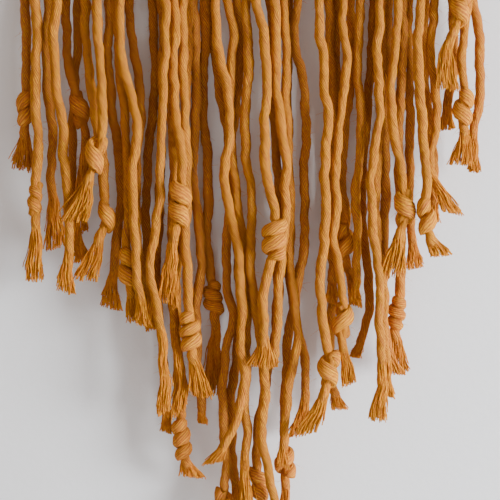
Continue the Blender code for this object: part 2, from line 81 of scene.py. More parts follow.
# The overhand knots
KNOT_LEAD = 1.0            # mm of plain cord at each end of a knot
KNOT_THICK = 1.4           # mm, half the depth of the cord where it is flattened in a turn
KNOT_FILL = 1.10           # height of the flattened cord as a share of the turns' pitch
KNOT_OVERHANG = 0.8        # share of the pitch that lies beyond the middle of the outermost turns
KNOT_CORE = 0.7            # mm, how far the two lengths inside the turns lie from the middle
KNOT_SQUEEZE = 0.75        # their thickness as a share of the cord's
KNOT_UNTWIST = 2.0         # the more the cord is fattened in a turn, the straighter its threads lie
KNOT_DIVE = 60             # degrees in which a turn comes out of the core or goes back in
# A cord's small bends: how far out in mm, and how long each is in mm
SMALL_BENDS = ((0.25, 18.0), (0.15, 9.5), (0.08, 5.2))

# The cord knots of a heading: one leg's path to the middle of the fold, as across from the knot's
# middle, outwards from the row, and up; all in mm
HOLDING_Z = -3.7
HEAD_CORD_SHARE = 0.78     # thickness of the cord where it is pulled tight
FOLDED_LEG = (
    (1.75, 1.5, -7.4),
    (1.7, 2.4, -4.9),
    (1.9, 1.9, -2.1),
    (2.5, 0.2, -1.3),
    (3.2, -1.7, -2.0),
    (3.8, -2.4, -3.8),
    (4.1, -1.7, -5.6),
    (4.2, 0.3, -6.4),
    (3.9, 2.4, -6.2),
    (2.6, 4.0, -5.8),
    (0.0, 4.4, -5.7),
)

# The frayed tails
GOLDEN_ANGLE = 2.4
GOLDEN_SHARE = 0.618034
TAIL_RAGGED = 0.24         # how much shorter the shortest threads are
TAIL_SLANT = 0.07          # how much longer one side of a tail may be cut than its middle
TAIL_KINK = 0.16           # mm, the waviness that the twist left in each thread
STRAY_SHARE = 0.07         # share of the threads that stick out of their tail
STRAY_REACH = (1.15, 1.5)  # how far out they go, in half widths of the tail

# The photograph's frame on the hanging
PHOTO_SIDE = 0.160         # m
PHOTO_MIDDLE = -0.110      # m from the top edge
CAMERA_DISTANCE = 0.62     # m
WALL_Y = 0.0115            # m, the wall behind the hanging
FLOOR_Z = -0.62            # m

# The cords in order across each row, all in mm. Columns: layer from the front; the overhand knot, as
# its distance down, length, width, turns, hand and the degrees it faces round; the distance down at
# which the cord frays; half the frayed end's width; and the route, as listed (across, down) points.
LAYER, KNOT, FRAY, HALF_END, ROUTE = range(5)
CORDS = {
    "front": (
        (0.9, (93.7, 12.2, 4.8, 2.5, -1, 180), 100.4, 2.9,
         ((-68.5, 30), (-67.8, 39.6), (-68.2, 49.2), (-68.5, 62), (-67.8, 71.6), (-67.5, 78),
          (-68.2, 87.6), (-68.5, 94), (-68.5, 101), (-68.8, 119.6))),
        (0.5, None, 109.4, 2.9,
         ((-61.4, 30), (-62.7, 44.4), (-62.1, 51.8), (-60.8, 63.6), (-59.5, 71.6), (-59.2, 79.6),
          (-58.6, 87.6), (-57.6, 98.8), (-57.6, 106.8), (-58.2, 113.8), (-58.2, 123.4))),
        (1.0, (99.1, 12.8, 5.8, 1.1, -1, 130), 105.5, 3.8,
         ((-52.8, 30), (-52.5, 39.6), (-51.8, 49.2), (-50.2, 60.4), (-49, 70), (-47.4, 78),
          (-46.7, 86), (-46.4, 92.4), (-45.8, 99.1), (-47.7, 105.5), (-52.5, 119.6))),
        (0.0, (79.6, 14.7, 7.0, 1.2, -1, 80), 87.0, 4.5,
         ((-49, 30), (-48.3, 39.6), (-47.7, 50.8), (-46.7, 65.2), (-47, 72.2), (-49, 79.9),
          (-50.9, 87), (-55.7, 101))),
        (1.0, (115.4, 14.1, 6.4, 1.5, -1, 0), 122.8, 3.8,
         ((-43.2, 30), (-42.2, 42.8), (-41.3, 55.6), (-40, 66.8), (-39.4, 78), (-39, 90.8),
          (-39, 100.4), (-39.7, 107.4), (-39, 115.8), (-38.1, 123.4), (-35.2, 133))),
        (0.2, None, 121.2, 2.6,
         ((-41.3, 30), (-41.3, 43.4), (-40.6, 49.8), (-39, 56.6), (-36.8, 64.6), (-35.8, 70),
          (-36.5, 78), (-37.4, 86), (-37.1, 95.6), (-36.5, 106.8), (-35.5, 121.2), (-33, 134))),
        (0.0, None, 131.8, 2.2,
         ((-27.2, 30), (-26.9, 46), (-27.5, 57.2), (-27.8, 68.4), (-28.5, 81.2), (-28.5, 92.4),
          (-29.8, 102), (-31.4, 111.6), (-31.7, 118), (-30.1, 125.4), (-28.8, 131.8), (-27.8, 140.4),
          (-27.2, 151.6), (-27.2, 161.2))),
        (1.4, None, 131.8, 2.6,
         ((-25.6, 30), (-25.3, 49.2), (-25, 68.4), (-24.3, 81.2), (-24.6, 94), (-25.3, 110),
          (-25, 126), (-23.7, 138.8), (-22.4, 150), (-22.4, 161.8))),
        (0.4, (95.6, 16.0, 7.7, 1.8, -1, 70), 103.3, 3.2,
         ((-24, 30), (-23.7, 39.6), (-24.3, 52.4), (-24, 62), (-22.7, 73.2), (-21.4, 84.4),
          (-22.1, 94), (-23.4, 103), (-25, 111.6), (-25.6, 127))),
        (0.9, (135.9, 13.4, 7.0, 2.5, 1, 120), 143.0, 3.5,
         ((-21.4, 30), (-21.4, 46), (-21.1, 58.8), (-20.5, 74.8), (-20.2, 90.8), (-20.8, 103.6),
          (-20.2, 116.4), (-19.5, 126), (-19.2, 135.9), (-18.2, 143.3), (-15.7, 156.7))),
        (0.2, None, 170.8, 2.9,
         ((-10.9, 30), (-10.6, 42.8), (-9.3, 49.8), (-7.4, 58.8), (-6.4, 66.8), (-6.7, 74.8),
          (-8, 83.8), (-7.7, 92.4), (-6.1, 98.8), (-4.5, 105.8), (-3.2, 118), (-2.6, 129.2),
          (-2.9, 140.4), (-1.9, 151.6), (-2.9, 158.6), (-4.8, 165), (-7.7, 171.1), (-11.8, 177.8))),
        (1.1, None, 173.4, 2.6,
         ((-7.7, 30), (-6.4, 34.8), (-4.8, 42.2), (-6.1, 48.6), (-6.1, 57.2), (-6.4, 68.4), (-5.8, 78),
          (-4.8, 89.2), (-3.8, 97.2), (-2.2, 105.2), (-1, 113.8), (-1, 132.4), (-1.3, 148.4),
          (-1.6, 159.6), (-1, 169.2), (-1.6, 177.2), (-1, 195.8))),
        (0.7, (201.2, 14.1, 7.7, 1.5, 1, 45), 208.2, 3.5,
         ((-1.3, 30), (-1, 39.6), (-0.3, 49.2), (-1, 58.8), (-1.6, 70), (-1.3, 79.6), (0.3, 90.8),
          (0.6, 101), (0, 110), (0.6, 119.6), (1.9, 129.8), (3.8, 141.4), (4.8, 153.2), (4.2, 161.8),
          (3.8, 170.8), (5.8, 179.8), (7.7, 190), (8.3, 199.6), (8, 209.2))),
        (0.0, (106.5, 14.1, 8.0, 2.5, 1, 270), 139.4, 4.2,
         ((1.9, 30), (2.9, 35.8), (4.5, 42.8), (5.1, 49.8), (5.1, 63.6), (4.5, 74.8), (5.1, 85),
          (6.7, 93.4), (8, 101), (7.7, 106.8), (6.4, 113.8), (4.5, 122.8), (4.2, 134), (4.5, 140.4),
          (2.9, 147.1))),
        (0.5, None, 142.6, 1.6,
         ((7.7, 30), (8.3, 39.6), (8.3, 54), (9, 63.6), (10.2, 73.2), (11.5, 81.8), (11.2, 89.2),
          (11.2, 98.8), (10.6, 106.8), (9.6, 114.8), (9, 124.4), (8.6, 134), (8, 141.4), (7, 147.1))),
        (1.0, None, 170.8, 1.9,
         ((10.6, 30), (11.5, 39.6), (11.5, 49.2), (11.5, 60.4), (12.2, 74.8), (12.8, 94),
          (12.8, 106.8), (12.5, 114.8), (13.8, 122.8), (15, 131.8), (15, 138.8), (13.8, 146.5),
          (12.2, 154.8), (11.2, 162.8), (10.9, 170.2), (10.6, 179.1))),
        (0.0, (147.8, 13.4, 7.4, 1.5, -1, 135), 154.5, 3.5,
         ((21.8, 30), (22.1, 39.6), (23.4, 50.8), (23.7, 60.4), (25, 70.6), (24, 76.7), (23.7, 84.4),
          (24, 95.6), (23.7, 105.2), (22.4, 116.4), (22.4, 126), (24, 138.2), (25, 147.8),
          (23.4, 154.8), (18.2, 168.2))),
        (0.3, (132.4, 13.4, 6.7, 1.5, 1, 0), 139.1, 2.2,
         ((29.4, 30), (29.4, 37), (30.7, 48.6), (30.4, 55.6), (29.1, 63.6), (28.2, 74.2), (27.2, 82.8),
          (27.5, 95.6), (26.6, 106.8), (28.2, 115.8), (29.4, 122.8), (29.4, 132.4), (29.4, 139.1),
          (31.7, 152.6))),
        (1.0, None, 120.2, 1.6,
         ((35.5, 30), (34.6, 41.2), (34.6, 57.2), (35.5, 70), (34.9, 79.6), (33.9, 89.2),
          (34.2, 105.2), (34.2, 113.8), (33.3, 126))),
        (0.0, None, 142.6, 2.9,
         ((41, 30), (41, 38), (40.3, 47.6), (41, 60.4), (41, 69), (39.7, 76.4), (38.4, 87.6),
          (38.7, 98.8), (39.7, 110), (41, 118), (41, 129.2), (41.3, 138.8), (41.9, 147.8),
          (40.6, 163.8))),
        (1.2, None, 143.6, 1.9,
         ((42.2, 30), (41.9, 42.8), (41.6, 58.8), (41.6, 70), (40.6, 81.2), (40.3, 97.2),
          (41.3, 113.8), (42.9, 126), (42.6, 137.2), (43.5, 145.8), (44.5, 156.7))),
        (0.2, (96.2, 14.1, 7.0, 1.5, -1, 180), 103.6, 4.2,
         ((47, 30), (46.7, 40.2), (45.8, 48.6), (44.8, 58.8), (45.1, 67.8), (46.4, 76.4), (48.3, 86),
          (49.3, 96.2), (48, 103.6), (44.5, 118.6))),
        (0.0, (99.4, 13.4, 6.1, 1.5, 1, 120), 106.2, 3.5,
         ((54.1, 30), (53.8, 38), (53.1, 46.6), (53.8, 57.2), (54.4, 68.4), (55.4, 79.6), (56, 90.8),
          (56, 99.4), (57.3, 106.5), (61.1, 111.9))),
        (1.0, None, 85.0, 3.2,
         ((58.6, 30), (58.2, 39.6), (57.6, 48.6), (58.6, 56.2), (59.8, 64.6), (59.2, 71.6),
          (57.6, 78.6), (57.9, 85), (60.8, 90.8), (64.6, 98.2))),
        (0.0, (33.5, 14.1, 7.0, 1.5, -1, 150), 41.5, 3.5,
         ((65.9, 20.4), (66.6, 26.8), (66.6, 33.8), (64.3, 40.9), (62.1, 46), (62.1, 51.8),
          (62.7, 58.8))),
        (0.8, (64.2, 13.4, 6.7, 1.5, -1, 30), 71.0, 3.5,
         ((69.1, 20.4), (69.4, 30), (69.1, 36.4), (67.8, 43.4), (67.5, 49.8), (68.2, 56.9),
          (67.8, 64.2), (68.2, 71), (67.2, 82.8))),
    ),
    "back": (
        (2.0, (64.9, 12.8, 5.8, 1.5, 1, 180), 71.6, 3.5,
         ((-72.3, 30), (-71.7, 46), (-72, 58.2), (-72.3, 65.2), (-72.3, 72.2), (-73, 84.4))),
        (2.1, None, 86.3, 3.5,
         ((-65, 30), (-65.3, 46), (-65, 58.8), (-63.7, 68.4), (-63.4, 78), (-64, 87.6), (-63, 98.8),
          (-62.4, 109))),
        (2.3, (64.6, 14.4, 6.4, 1.5, -1, 210), 72.2, 2.6,
         ((-59.2, 30), (-58.9, 42.8), (-57.9, 52.4), (-56, 58.8), (-54.1, 65.8), (-53.1, 73.2),
          (-53.8, 87.6), (-54.7, 104.9))),
        (3.0, None, 102.0, 2.6,
         ((-55.7, 30), (-55.7, 42.8), (-56.6, 55.6), (-57.3, 71.6), (-57.3, 87.6), (-56.3, 102),
          (-54.4, 113.8))),
        (3.0, None, 113.8, 3.2,
         ((-45.4, 30), (-45.8, 46), (-44.8, 62), (-42.6, 78), (-41.6, 87.6), (-42.6, 103.6),
          (-43.8, 113.2), (-44.8, 128.6))),
        (2.0, None, 120.2, 2.2,
         ((-38.7, 30), (-38.4, 39.6), (-36.8, 47.6), (-35.5, 58.2), (-34.9, 64.6), (-35.5, 71.6),
          (-36.5, 81.2), (-36.5, 94), (-36.2, 106.8), (-34.9, 118), (-32, 129.8))),
        (3.0, None, 125.4, 2.2,
         ((-31.7, 30), (-31, 42.8), (-30.7, 55.6), (-31.4, 65.8), (-32.6, 74.8), (-33, 82.8),
          (-33.6, 95.6), (-33.3, 108.4), (-33, 119.6), (-31, 135.6))),
        (2.5, None, 159.3, 1.9,
         ((-28.5, 30), (-28.2, 55.6), (-28.8, 81.2), (-29.4, 103.6), (-30.1, 119.6), (-28.8, 135.6),
          (-27.5, 151.6), (-26.9, 168.6))),
        (2.0, (170.8, 14.1, 6.4, 2.5, 1, 150), 177.5, 3.2,
         ((-19.5, 30), (-19.8, 42.8), (-20.5, 62), (-22.1, 87.6), (-23.4, 113.2), (-23.4, 135.6),
          (-22.7, 158), (-22.1, 165), (-21.8, 170.8), (-20.8, 177.8), (-18.2, 183))),
        (2.2, None, 160.6, 1.6,
         ((-18.2, 30), (-17.6, 42.8), (-17.3, 58.8), (-17.6, 71.6), (-18.6, 81.2), (-17.6, 94),
          (-15.7, 108.4), (-15.7, 115.8), (-17, 126), (-17, 142), (-16, 156.4), (-15, 165.7))),
        (3.0, (125.4, 11.5, 6.4, 2.5, -1, 90), 131.1, 3.2,
         ((-14.4, 30), (-14.4, 42.8), (-15.4, 60.4), (-14.1, 76.4), (-13.4, 92.4), (-14.1, 103.6),
          (-13.1, 115.8), (-11.8, 125.7), (-11.5, 131.8), (-12.2, 156.4))),
        (3.0, None, 183.6, 1.9,
         ((-12.2, 30), (-11.5, 44.4), (-9.6, 58.8), (-7, 74.8), (-6.1, 94), (-3.8, 113.2),
          (-2.9, 129.2), (-4.5, 145.2), (-6.1, 158), (-6.1, 169.2), (-5.4, 180.4), (-4.2, 193.8))),
        (2.0, (191.9, 12.8, 6.4, 1.5, 1, 60), 198.3, 3.2,
         ((-4.2, 30), (-3.2, 41.2), (-3.8, 55.6), (-5.4, 71.6), (-6.4, 87.6), (-7, 102), (-7.7, 113.8),
          (-7, 123.8), (-5.4, 132.4), (-7.4, 140.4), (-8.6, 151.6), (-8.6, 164.4), (-7.7, 177.2),
          (-8.3, 190), (-8.3, 204.4))),
        (2.2, (184.9, 12.2, 6.4, 1.5, -1, 330), 191.3, 2.9,
         ((6.7, 30), (7, 49.2), (7.7, 68.4), (9, 87.6), (8.6, 106.8), (9, 124.4), (8.3, 135.6),
          (6.1, 146.8), (4.2, 158), (2.2, 170.8), (2.2, 179.8), (3.5, 186.8), (4.5, 199.6))),
        (3.0, None, 155.4, 2.9,
         ((12.5, 30), (12.2, 39.6), (12.2, 58.8), (12.5, 81.2), (13.1, 103.6), (12.8, 119.6),
          (14.7, 132.4), (17, 142.6), (18.2, 151.6), (17.3, 159.6), (15.4, 169.5))),
        (2.0, (178.2, 10.9, 7.0, 1.5, 1, 300), 183.9, 2.2,
         ((15.7, 30), (14.1, 37), (14.4, 43.4), (16, 50.8), (17.6, 60.4), (17.9, 74.8), (17.3, 87.6),
          (17.6, 105.2), (16.3, 115.8), (14.1, 127.6), (12.2, 138.8), (11.5, 151.6), (10.9, 167.6),
          (11.2, 177.8), (11.2, 184.2), (10.9, 199.6))),
        (3.0, None, 118.3, 1.9,
         ((25.6, 30), (25.6, 41.2), (26.6, 57.2), (26.6, 74.8), (26.6, 90.8), (25.9, 106.8),
          (26.6, 118), (26.2, 127))),
        (3.3, None, 155.4, 2.6,
         ((27.8, 30), (27.8, 49.2), (28.2, 68.4), (28.8, 94), (27.2, 119.6), (25.9, 138.8),
          (26.2, 151.6), (28.8, 161.5))),
        (2.0, (107.4, 14.1, 6.1, 1.5, 1, 90), 114.5, 1.9,
         ((32.3, 30), (32.3, 42.8), (32, 57.2), (30.4, 71.6), (29.4, 81.2), (29.8, 90.8), (30.7, 99.8),
          (30.7, 107.4), (31.4, 115.1), (34.2, 127.9))),
        (3.1, None, 138.2, 1.9,
         ((39.7, 30), (39, 49.2), (38.1, 63.6), (36.8, 78), (36.2, 90.8), (36.8, 106.8), (38.4, 119.6),
          (38.4, 128.6), (36.8, 136.2), (34.2, 144.6))),
        (2.0, None, 140.4, 1.9,
         ((44.2, 30), (44.2, 42.8), (43.2, 55.6), (43.2, 70), (43.5, 84.4), (43.2, 100.4),
          (43.2, 114.8), (42.6, 126), (42.9, 135.6), (44.8, 142.6), (48, 149.7))),
        (2.2, (130.2, 11.5, 5.8, 2.5, -1, 0), 136.2, 3.5,
         ((49, 30), (49, 49.2), (48, 65.2), (47.7, 81.2), (48.6, 95.6), (48.6, 106.8), (48.3, 119.6),
          (47.4, 130.2), (46.7, 136.9), (48.3, 149))),
        (2.6, None, 105.5, 2.9,
         ((51.2, 30), (51.5, 49.2), (51.5, 68.4), (51.5, 84.4), (51.5, 98.8), (52.2, 106.8),
          (53.4, 115.8))),
        (3.0, None, 92.7, 1.9,
         ((56.3, 30), (56.3, 46), (57, 62), (58.9, 78), (59.5, 89.2), (58.9, 101.7))),
        (2.0, None, 60.7, 2.6,
         ((64.6, 23.6), (65, 33.2), (65.6, 43.4), (65, 54), (63.7, 62), (63, 71.3))),
        (2.2, None, 71.6, 1.9,
         ((71.7, 30), (73, 37), (73.9, 46), (73.9, 55.6), (73.3, 64.6), (72, 72.2), (71.7, 84.7))),
    ),
}


def smooth_route(points, down):
    """Position across at each distance down, on a smooth curve through the route's points."""
    across = np.array([p[0] for p in points])
    depth = np.array([p[1] for p in points])
    slope = np.gradient(across, depth)
    i = np.clip(np.searchsorted(depth, down) - 1, 0, len(depth) - 2)
    span = depth[i + 1] - depth[i]
    t = (down - depth[i]) / span
    return ((1 + 2 * t) * (1 - t) ** 2 * across[i] + t * (1 - t) ** 2 * span * slope[i]
            + t * t * (3 - 2 * t) * across[i + 1] + t * t * (t - 1) * span * slope[i + 1])


def root_across(number):
    """Where a row's cord of this number leaves its heading: two legs to each cord knot."""
    knot, leg = divmod(number, 2)
    return (knot - (HEAD_KNOTS - 1) / 2) * HEAD_PITCH + (leg * 2 - 1) * LEG_SPREAD


class Cord:
    """One hanging cord: its route, its settled depth and what is on it."""

    def __init__(self, row, number, entry):
        self.row = row
        self.number = number
        self.layer = entry[LAYER]
        self.knot = entry[KNOT]
        self.fray = entry[FRAY]
        self.half_end = entry[HALF_END]
        root = root_across(number)
        self.route = ((root, LEG_START), (root, HEAD_CENTRE * 2 + LEG_STRAIGHT)) + entry[ROUTE]
        end = self.route[-1][1]
        count = max(3, round((end - LEG_START) / STATION)) + 1
        self.down = np.linspace(LEG_START, end, count)
        self.across = smooth_route(self.route, self.down)
        self.depth = np.full(count, (self.layer - MIDDLE_LAYER) * LAYER_PITCH)
        self.depth[0] = ROOT_Y[row]
        dice = random.Random(f"{row} {number}")
        self.bends = [[(dice.uniform(0.5, 1) * reach, dice.uniform(0.8, 1.25) * wave, dice.uniform(0, math.tau))
                       for reach, wave in SMALL_BENDS] for _ in range(2)]
        # Random dye tone, with painted shade: each layer further back is painted redder and darker
        self.shade = min(1.0, max(0.0, 0.10 + 0.2 * self.layer + dice.uniform(-0.15, 0.3)))
        self.girth = dice.uniform(0.92, 1.06)

    def half_sizes(self, down):
        """Half width and half depth of what hangs there: cord, knot or tail."""
        flare = np.clip((down - self.fray) / (self.down[-1] - self.fray), 0, 1)
        wide = CORD_RADIUS + (self.half_end - CORD_RADIUS) * flare ** TAIL_OPENING
        deep = CORD_RADIUS + (TAIL_HALF_DEPTH - CORD_RADIUS) * flare
        if self.knot:
            middle, length, width = self.knot[:3]
            bulge = np.sqrt(np.clip(1 - ((down - middle) / (length / 2)) ** KNOT_SQUARENESS, 0, 1))
            wide = np.maximum(wide, bulge * width / 2)
            deep = np.maximum(deep, bulge * width / 2 * KNOT_FLATNESS)
        return wide, deep

    def at(self, down):
        """Points of the cord's centreline at these distances down, in mm, with its small bends."""
        down = np.asarray(down, float)
        fade = np.clip((down - LEG_START * 2) / 8, 0, 1)
        sway = [sum(reach * fade * np.sin(math.tau * down / wave + phase) for reach, wave, phase in bends)
                for bends in self.bends]
        across = smooth_route(self.route, down) + sway[0]
        depth = smooth_route(list(zip(self.depth, self.down)), down) + sway[1]
        return np.stack([across, depth, -down], axis=-1)

    def knot_span(self):
        """Where the knot's own length of cord begins and ends, as distances down."""
        middle, length = self.knot[:2]
        return middle - length / 2 - KNOT_LEAD, middle + length / 2 + KNOT_LEAD

    def tail_start(self):
        """Where the threads part: at the fraying, or below the knot."""
        if self.knot:
            return max(self.fray, self.knot_span()[1]) - KNOT_LEAD / 2
        return self.fray

    def core_end(self):
        """Where the last of the cord's twisted core ends, inside its tail."""
        share = 0.3 if self.knot else 0.5
        return self.tail_start() + share * (self.down[-1] - self.tail_start())


def settle(cords):
    """Pushes the cords apart front to back, in the order of their layers, over a set number of rounds."""
    fine = np.arange(LEG_START, max(c.down[-1] for c in cords) + 1, STATION / 3)
    cords = sorted(cords, key=lambda c: c.layer)
    inside = np.array([fine <= c.down[-1] for c in cords])
    across = np.array([np.interp(fine, c.down, c.across) for c in cords])
    sizes = [c.half_sizes(fine) for c in cords]
    wide = np.array([s[0] for s in sizes])
    deep = np.array([s[1] for s in sizes])
    reach = wide[:, None] + wide[None] + GAP
    beside = np.abs(across[:, None] - across[None]) / reach
    need = (deep[:, None] + deep[None] + GAP) * np.sqrt(np.clip(1 - beside ** 2, 0, 1))
    below_head = fine > HEAD_CENTRE * 2
    need *= inside[:, None] & inside[None] & below_head
    behind = np.triu(np.ones((len(cords), len(cords))), 1)[:, :, None]
    reaches = np.linspace(-0.75, 0.75, 5) * STATION
    for turn in range(SETTLE_ROUNDS):
        depth = np.array([np.interp(fine, c.down, c.depth) for c in cords])
        short = np.clip(need - (depth[None] - depth[:, None]), 0, None) * behind * (need > 0)
        push = SETTLE_PUSH * (short.max(axis=0) - short.max(axis=1))
        calming = turn < SETTLE_ROUNDS * CALM_ROUNDS
        for i, cord in enumerate(cords):
            near = np.array([np.interp(cord.down + shift, fine, push[i]) for shift in reaches])
            cord.depth += near[np.abs(near).argmax(axis=0), np.arange(len(cord.down))]
            if calming:
                rest = (cord.layer - MIDDLE_LAYER) * LAYER_PITCH
                calm = cord.depth[:-2] + cord.depth[2:] - 2 * cord.depth[1:-1]
                cord.depth[1:-1] += CALM_BEND * calm
                cord.depth += CALM_RETURN * (rest - cord.depth)
            cord.depth[0] = ROOT_Y[cord.row]


def hang_rows():
    """Both rows of cords, settled against each other."""
    rows = {row: [Cord(row, i, entry) for i, entry in enumerate(CORDS[row])] for row in CORDS}
    settle(rows["front"] + rows["back"])
    return rows


def spaced(points, spacing):
    """A smooth path through a few points, with its own points this far apart, in mm. What follows a
    point's three coordinates is carried along."""
    points = np.array(points, float)
    along = np.r_[0, np.cumsum(np.linalg.norm(np.diff(points[:, :3], axis=0), axis=1))]
    count = max(4, round(along[-1] / spacing) + 1)
    wanted = np.linspace(0, along[-1], count)
    return np.stack([smooth_route(list(zip(column, along)), wanted) for column in points.T], axis=1)


def smooth_step(value):
    """From 0 to 1 with a soft start and a soft end."""
    value = np.clip(value, 0, 1)
    return value * value * (3 - 2 * value)


def wrapped_knot(tall, wide, wraps, hand, turned):
    """An overhand knot pulled into a barrel, about its own middle in mm: the cord goes down through its
    own turns, winds up round itself, and goes down through the turns again. The last value says how
    far each point lies out in the turns."""
    pitch = tall / (wraps + KNOT_ENDS)
    rise = (tall - KNOT_OVERHANG * pitch) / 2
    reach = wide / 2 - KNOT_THICK
    u = np.linspace(0, 1, round(14 * wraps))
    out = smooth_step(np.minimum(u, 1 - u) * wraps * 360 / KNOT_DIVE)
    angle = math.tau * wraps * u
    radius = KNOT_CORE + (reach - KNOT_CORE) * out
    turns = np.stack([radius * np.cos(angle), hand * radius * np.sin(angle), rise * (2 * u - 1), out], axis=1)
    end_x, end_y = KNOT_CORE * math.cos(angle[-1]), hand * KNOT_CORE * math.sin(angle[-1])
    top = tall / 2 + KNOT_LEAD
    way_in = [(0, 0, top, 0), (KNOT_CORE * 0.5, 0, rise, 0), (KNOT_CORE, 0, 0, 0), (KNOT_CORE, 0, 1.4 - rise, 0)]
    way_out = [(end_x, end_y, rise - 1.4, 0), (end_x, end_y, 0, 0), (end_x / 2, end_y / 2, -rise, 0),
               (0, 0, -top, 0)]
    whole = np.concatenate([way_in, turns, way_out])
    cosine, sine = math.cos(math.radians(turned)), math.sin(math.radians(turned))
    across, deep = whole[:, 0].copy(), whole[:, 1].copy()
    whole[:, 0] = across * cosine - deep * sine
    whole[:, 1] = (across * sine + deep * cosine) * KNOT_FLATNESS
    return whole, pitch


TUBES = {}


def plain_tube(sides, rings):
    """A capped cylinder with this many rings, and the ring and side that each of its vertices is on."""
    if (sides, rings) not in TUBES:
        bm = bmesh.new()
        bmesh.ops.create_cone(bm, cap_ends=True, segments=sides, radius1=1, radius2=1, depth=rings - 1)
        long_edges = [e for e in bm.edges if abs(e.verts[0].co.z - e.verts[1].co.z) > 0.5]
        if rings > 2:
            bmesh.ops.subdivide_edges(bm, edges=long_edges, cuts=rings - 2, use_grid_fill=True)
        bmesh.ops.recalc_face_normals(bm, faces=bm.faces)
        mesh = bpy.data.meshes.new("tube")
        bm.to_mesh(mesh)
        bm.free()
        places = np.array([v.co for v in mesh.vertices])
        ring = np.rint((rings - 1) / 2 - places[:, 2]).astype(int)
        side = np.rint(np.arctan2(places[:, 1], places[:, 0]) / math.tau * sides).astype(int) % sides
        TUBES[sides, rings] = mesh, ring, side
    return TUBES[sides, rings]


def carry_frames(centre):
    """A path's sideways directions, carried along it without twisting."""
    tangent = np.gradient(centre, axis=0)
    tangent /= np.linalg.norm(tangent, axis=1, keepdims=True)
    right = np.empty_like(centre)
    last = np.array([1.0, 0.0, 0.0])
    for i, along in enumerate(tangent):
        last = last - along * last.dot(along)
        last /= np.linalg.norm(last)
        right[i] = last
    return right, np.cross(tangent, right)


class Bundle:
    """Many tubes that become one piece, with the fibres' direction kept on every point."""

    def __init__(self, name):
        self.name = name
        self.tubes = []

    def sweep(self, centre, radius, sides, shade, turn=0.0, lobes=None, start=0.0, swell=None, groove=0.0):
        """A tube along a path in mm. turn is the twist at each point, lobes are its sides' heights,
        swell is how far each point's section is widened across, in depth and in height, and groove
        is how deep the threads around it are."""
        centre = np.asarray(centre, float)
        rings = len(centre)
        mesh, ring, side = plain_tube(sides, rings)
        right, front = carry_frames(centre)
        angle = math.tau * np.arange(sides) / sides
        turned = angle[None] + np.broadcast_to(turn, rings)[:, None]
        heights = np.ones((1, sides)) if lobes is None else lobes
        reach = np.broadcast_to(radius, rings)[:, None] * heights
        offset = reach[..., None] * (np.cos(turned)[..., None] * right[:, None]
                                     + np.sin(turned)[..., None] * front[:, None])
        if swell is not None:
            offset = offset * swell[:, None]
        points = centre[:, None] + offset
        along = start + np.r_[0, np.cumsum(np.linalg.norm(np.diff(centre, axis=0), axis=1))]
        girth = float(np.mean(radius))
        fibre = np.empty((rings, sides, 3))
        fibre[..., 0] = girth * np.cos(angle)[None]
        fibre[..., 1] = girth * np.sin(angle)[None]
        fibre[..., 2] = along[:, None]
        groove = np.broadcast_to(np.reshape(groove, (-1, 1)), (rings, sides))
        shades = np.broadcast_to(np.reshape(shade, (-1, 1)), (rings, sides))
        self.tubes.append((mesh, points[ring, side], fibre[ring, side], groove[ring, side],
                           shades[ring, side]))

    def build(self, row):
        """The tubes as one object, dressed, riding on the hanging in place of the row's solid."""
        bm = bmesh.new()
        for mesh, *_ in self.tubes:
            bm.from_mesh(mesh)
        made = bpy.data.meshes.new(self.name)
        bm.to_mesh(made)
        bm.free()
        points = np.concatenate([tube[1] for tube in self.tubes]) * MM
        made.vertices.foreach_set("co", points.ravel())
        fibre = made.attributes.new("fibre", "FLOAT_VECTOR", "POINT")
        fibre.data.foreach_set("vector", np.concatenate([tube[2] for tube in self.tubes]).ravel())
        for name, column in (("groove", 3), ("shade", 4)):
            kept = made.attributes.new(name, "FLOAT", "POINT")
            kept.data.foreach_set("value", np.concatenate([tube[column] for tube in self.tubes]).ravel())
        made.update()
        made.shade_smooth()
        piece = bpy.data.objects.new(self.name, made)
        bpy.context.scene.collection.objects.link(piece)
        made.materials.append(cotton(row))
        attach(piece, "root")
        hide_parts(NODES[row])
        return piece


def wander(dice, count, reach, step):
    """Slow irregular drift along a cord: count values of about this reach, changing every step values."""
    knots = np.array([dice.uniform(-reach, reach) for _ in range(int(count / step) + 3)])
    return np.interp(np.arange(count) / step, np.arange(len(knots)), knots)


def uneven_sides(dice, rings, sides):
    """How far each side of a cord stands from its middle, ring by ring: soft strands of unlike size."""
    angle = math.tau * np.arange(sides) / sides
    heights = np.ones((rings, sides))
    for strands, share in ((3, 0.035), (5, 0.03)):
        swell = share * (1 + wander(dice, rings, 0.6, 9))
        heights += swell[:, None] * np.cos(strands * angle[None] + wander(dice, rings, 1.2, 14)[:, None])
    for side in range(sides):
        heights[:, side] += wander(dice, rings, 0.045, 3)
    return heights


